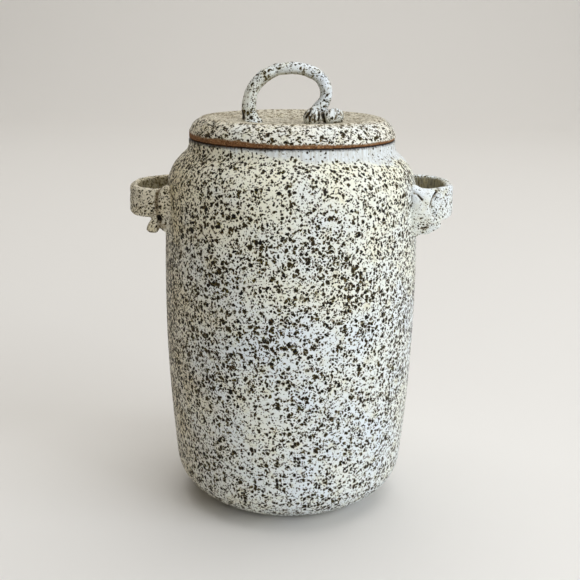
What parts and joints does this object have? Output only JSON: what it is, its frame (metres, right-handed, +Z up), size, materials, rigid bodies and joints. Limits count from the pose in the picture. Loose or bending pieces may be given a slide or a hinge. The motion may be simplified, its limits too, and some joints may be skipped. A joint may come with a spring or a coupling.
{
  "type": "biscuit jar",
  "caption": "Thrown stoneware biscuit jar with a lift-off lid, a coiled loop handle and looped strap lugs, in speckled glaze.",
  "frame": {"origin": "centre of the foot, on the surface the jar stands on", "axes": "+Z up through the middle of the lid, the lugs point along +X and -X, and -Y faces the viewer of the tails"},
  "size_m": [0.1888, 0.1496, 0.2621],
  "materials": {
    "speckled_glaze": "off-white glossy glaze with fine black and olive specks",
    "bare_clay": "bare brown stoneware, matt and slightly gritty"
  },
  "bodies": {
    "jar": {"jar_body": "speckled_glaze", "left_lug": "speckled_glaze", "right_lug": "speckled_glaze"},
    "lid": {"lid": "speckled_glaze", "lid_flange": "bare_clay", "lid_handle": "speckled_glaze"}
  },
  "joints": [
    {"name": "lid_lift", "type": "slide", "parent": "jar", "child": "lid", "axis": [0, 0, 1], "range_m": [0, 0.12]}
  ]
}
